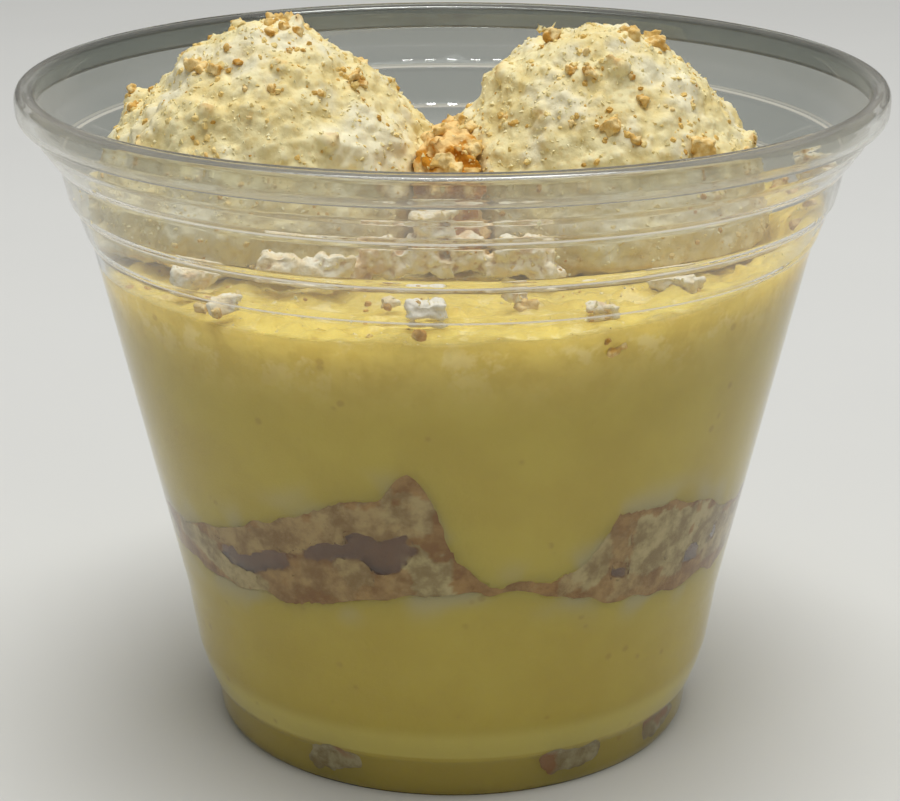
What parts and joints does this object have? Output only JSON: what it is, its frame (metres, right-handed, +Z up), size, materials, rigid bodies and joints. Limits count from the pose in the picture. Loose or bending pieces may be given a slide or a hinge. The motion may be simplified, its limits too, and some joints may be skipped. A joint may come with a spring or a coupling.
{
  "type": "banana pudding",
  "caption": "Layered banana pudding with crumbled wafers and two crumb-dusted scoops of whipped cream, built together with its clear tapered plastic cup.",
  "frame": {"origin": "centre of the cup's foot ring, on the surface it stands on", "axes": "+Z up along the cup's axis, +X to the right and -Y towards the viewer in the picture"},
  "size_m": [0.092, 0.092, 0.0785],
  "materials": {
    "clear_plastic": "clear thin moulded plastic, smooth and shiny",
    "pudding": "smooth yellow custard with a soft wet sheen",
    "whipped_cream": "matt pale cream with a rough, aerated surface",
    "wafer": "dry, porous pale tan biscuit crumb",
    "golden_crumb": "dry golden-brown crumbs"
  },
  "bodies": {
    "root": {"cup": "clear_plastic", "pudding_lower": "pudding", "pudding_upper": "pudding", "wafer_layer": "wafer", "cream_left": "whipped_cream", "cream_right": "whipped_cream", "crumb_heap": "golden_crumb", "side_wafer": "wafer", "base_wafer_1": "wafer", "base_wafer_2": "wafer", "base_wafer_3": "wafer", "base_wafer_4": "wafer", "base_wafer_5": "wafer", "base_wafer_6": "wafer", "base_wafer_7": "wafer", "top_wafer_1": "wafer", "top_wafer_2": "wafer", "top_wafer_3": "wafer", "top_wafer_4": "wafer", "top_wafer_5": "wafer", "top_wafer_6": "wafer", "top_wafer_7": "wafer", "top_wafer_8": "wafer", "top_wafer_9": "wafer", "top_wafer_10": "wafer"}
  },
  "joints": []
}
